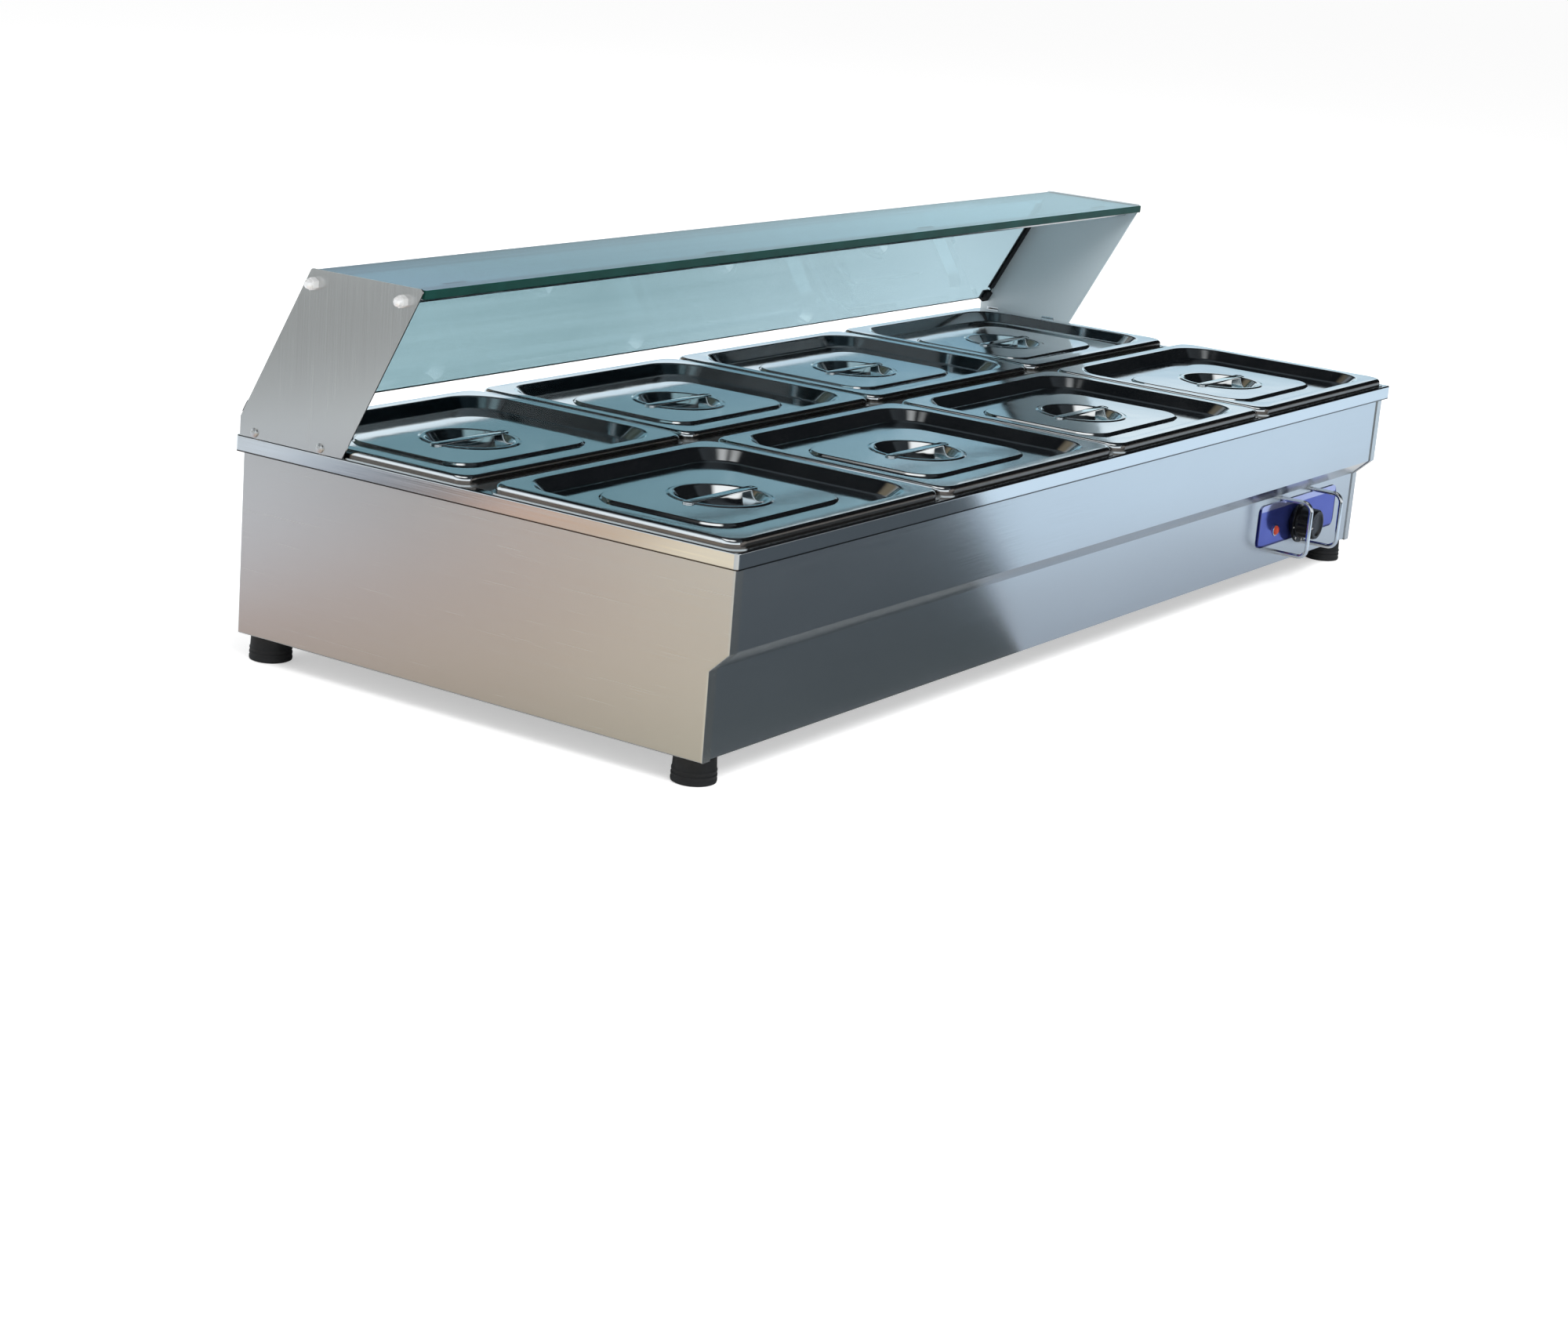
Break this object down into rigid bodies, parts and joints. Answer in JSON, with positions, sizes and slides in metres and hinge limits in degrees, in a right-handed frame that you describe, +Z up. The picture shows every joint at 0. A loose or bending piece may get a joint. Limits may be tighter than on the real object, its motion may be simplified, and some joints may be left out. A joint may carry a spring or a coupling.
{
  "type": "countertop bain-marie",
  "caption": "Long countertop bain-marie: lidded half-size pans in two rows over a heated water bath, with a glass food guard behind and a knob low on the stepped front.",
  "frame": {"origin": "middle of the whole object's box in plan, at the height of the counter it stands on (underside of the feet)", "axes": "+X along the length to the right as seen by the person at the controls, +Y to the rear where the food guard stands, +Z up"},
  "size_m": [1.3374, 0.581, 0.373],
  "materials": {
    "stainless_sheet": "brushed stainless steel sheet",
    "stainless_inner": "plain mill finish stainless steel",
    "pan_steel": "smooth drawn stainless steel",
    "lid_steel": "polished pressed stainless steel",
    "bright_steel": "bright plated steel",
    "guard_glass": "clear toughened glass with green edges",
    "black_rubber": "matt black rubber",
    "blue_plate": "printed blue face plate with plain numbers",
    "knob_plastic": "black plastic, semi-gloss",
    "black_plastic": "matt black plastic",
    "amber_lamp": "clear orange lens",
    "control_case": "light moulded plastic",
    "copper_brass": "plain brass and copper"
  },
  "bodies": {
    "chassis": {"top_frame": "stainless_sheet", "guard_lugs": "stainless_sheet", "left_side_panel": "stainless_sheet", "right_side_panel": "stainless_sheet", "front_fascia": "stainless_sheet", "lower_front_panel": "stainless_sheet", "rear_panel": "stainless_sheet", "base_plate": "stainless_inner", "water_tank": "stainless_inner", "centre_bar": "stainless_inner", "cross_bars": "stainless_inner", "guard_panel_left": "stainless_sheet", "guard_panel_right": "stainless_sheet", "top_glass": "guard_glass", "back_glass": "guard_glass", "tie_rods": "bright_steel", "glass_pads": "black_rubber", "cap_nuts": "bright_steel", "back_glass_clips": "black_rubber", "guard_screws": "bright_steel", "control_plate": "blue_plate", "thermostat": "control_case", "indicator_lamp": "amber_lamp", "knob_guards": "bright_steel", "heating_element": "bright_steel", "element_rests": "stainless_inner", "thermostat_bulb": "copper_brass", "tank_bushes": "copper_brass", "drain_pipe": "stainless_inner", "drain_cap": "knob_plastic", "terminal_block": "control_case", "overheat_cutout": "control_case", "cable_gland": "black_plastic", "feet": "black_rubber", "foot_screws": "bright_steel"},
    "control_knob": {"knob": "knob_plastic", "thermostat_spindle": "bright_steel"},
    "pan_body_1": {"pan_1": "pan_steel"},
    "lid_body_1": {"lid_1": "lid_steel", "lid_handle_1": "lid_steel"},
    "pan_body_2": {"pan_2": "pan_steel"},
    "lid_body_2": {"lid_2": "lid_steel", "lid_handle_2": "lid_steel"},
    "pan_body_3": {"pan_3": "pan_steel"},
    "lid_body_3": {"lid_3": "lid_steel", "lid_handle_3": "lid_steel"},
    "pan_body_4": {"pan_4": "pan_steel"},
    "lid_body_4": {"lid_4": "lid_steel", "lid_handle_4": "lid_steel"},
    "pan_body_5": {"pan_5": "pan_steel"},
    "lid_body_5": {"lid_5": "lid_steel", "lid_handle_5": "lid_steel"},
    "pan_body_6": {"pan_6": "pan_steel"},
    "lid_body_6": {"lid_6": "lid_steel", "lid_handle_6": "lid_steel"},
    "pan_body_7": {"pan_7": "pan_steel"},
    "lid_body_7": {"lid_7": "lid_steel", "lid_handle_7": "lid_steel"},
    "pan_body_8": {"pan_8": "pan_steel"},
    "lid_body_8": {"lid_8": "lid_steel", "lid_handle_8": "lid_steel"}
  },
  "joints": [
    {"name": "knob_turn", "type": "hinge", "parent": "chassis", "child": "control_knob", "pos_m": [0.4915, -0.25355, 0.069], "axis": [0, 1, 0], "range_deg": [0, 270]},
    {"name": "pan_lift_1", "type": "slide", "parent": "chassis", "child": "pan_body_1", "axis": [0, 0, 1], "range_m": [0, 0.09]},
    {"name": "lid_lift_1", "type": "slide", "parent": "pan_body_1", "child": "lid_body_1", "axis": [0, 0, 1], "range_m": [0, 0.1]},
    {"name": "pan_lift_2", "type": "slide", "parent": "chassis", "child": "pan_body_2", "axis": [0, 0, 1], "range_m": [0, 0.09]},
    {"name": "lid_lift_2", "type": "slide", "parent": "pan_body_2", "child": "lid_body_2", "axis": [0, 0, 1], "range_m": [0, 0.1]},
    {"name": "pan_lift_3", "type": "slide", "parent": "chassis", "child": "pan_body_3", "axis": [0, 0, 1], "range_m": [0, 0.09]},
    {"name": "lid_lift_3", "type": "slide", "parent": "pan_body_3", "child": "lid_body_3", "axis": [0, 0, 1], "range_m": [0, 0.1]},
    {"name": "pan_lift_4", "type": "slide", "parent": "chassis", "child": "pan_body_4", "axis": [0, 0, 1], "range_m": [0, 0.09]},
    {"name": "lid_lift_4", "type": "slide", "parent": "pan_body_4", "child": "lid_body_4", "axis": [0, 0, 1], "range_m": [0, 0.1]},
    {"name": "pan_tip_5", "type": "hinge", "parent": "chassis", "child": "pan_body_5", "pos_m": [-0.492, 0.27725, 0.21], "axis": [-1, 0, 0], "range_deg": [0, 12]},
    {"name": "lid_draw_5", "type": "slide", "parent": "pan_body_5", "child": "lid_body_5", "axis": [0, -0.7071, 0.7071], "range_m": [0, 0.08]},
    {"name": "pan_tip_6", "type": "hinge", "parent": "chassis", "child": "pan_body_6", "pos_m": [-0.164, 0.27725, 0.21], "axis": [-1, 0, 0], "range_deg": [0, 12]},
    {"name": "lid_draw_6", "type": "slide", "parent": "pan_body_6", "child": "lid_body_6", "axis": [0, -0.7071, 0.7071], "range_m": [0, 0.08]},
    {"name": "pan_tip_7", "type": "hinge", "parent": "chassis", "child": "pan_body_7", "pos_m": [0.164, 0.27725, 0.21], "axis": [-1, 0, 0], "range_deg": [0, 12]},
    {"name": "lid_draw_7", "type": "slide", "parent": "pan_body_7", "child": "lid_body_7", "axis": [0, -0.7071, 0.7071], "range_m": [0, 0.08]},
    {"name": "pan_tip_8", "type": "hinge", "parent": "chassis", "child": "pan_body_8", "pos_m": [0.492, 0.27725, 0.21], "axis": [-1, 0, 0], "range_deg": [0, 12]},
    {"name": "lid_draw_8", "type": "slide", "parent": "pan_body_8", "child": "lid_body_8", "axis": [0, -0.7071, 0.7071], "range_m": [0, 0.08]}
  ]
}
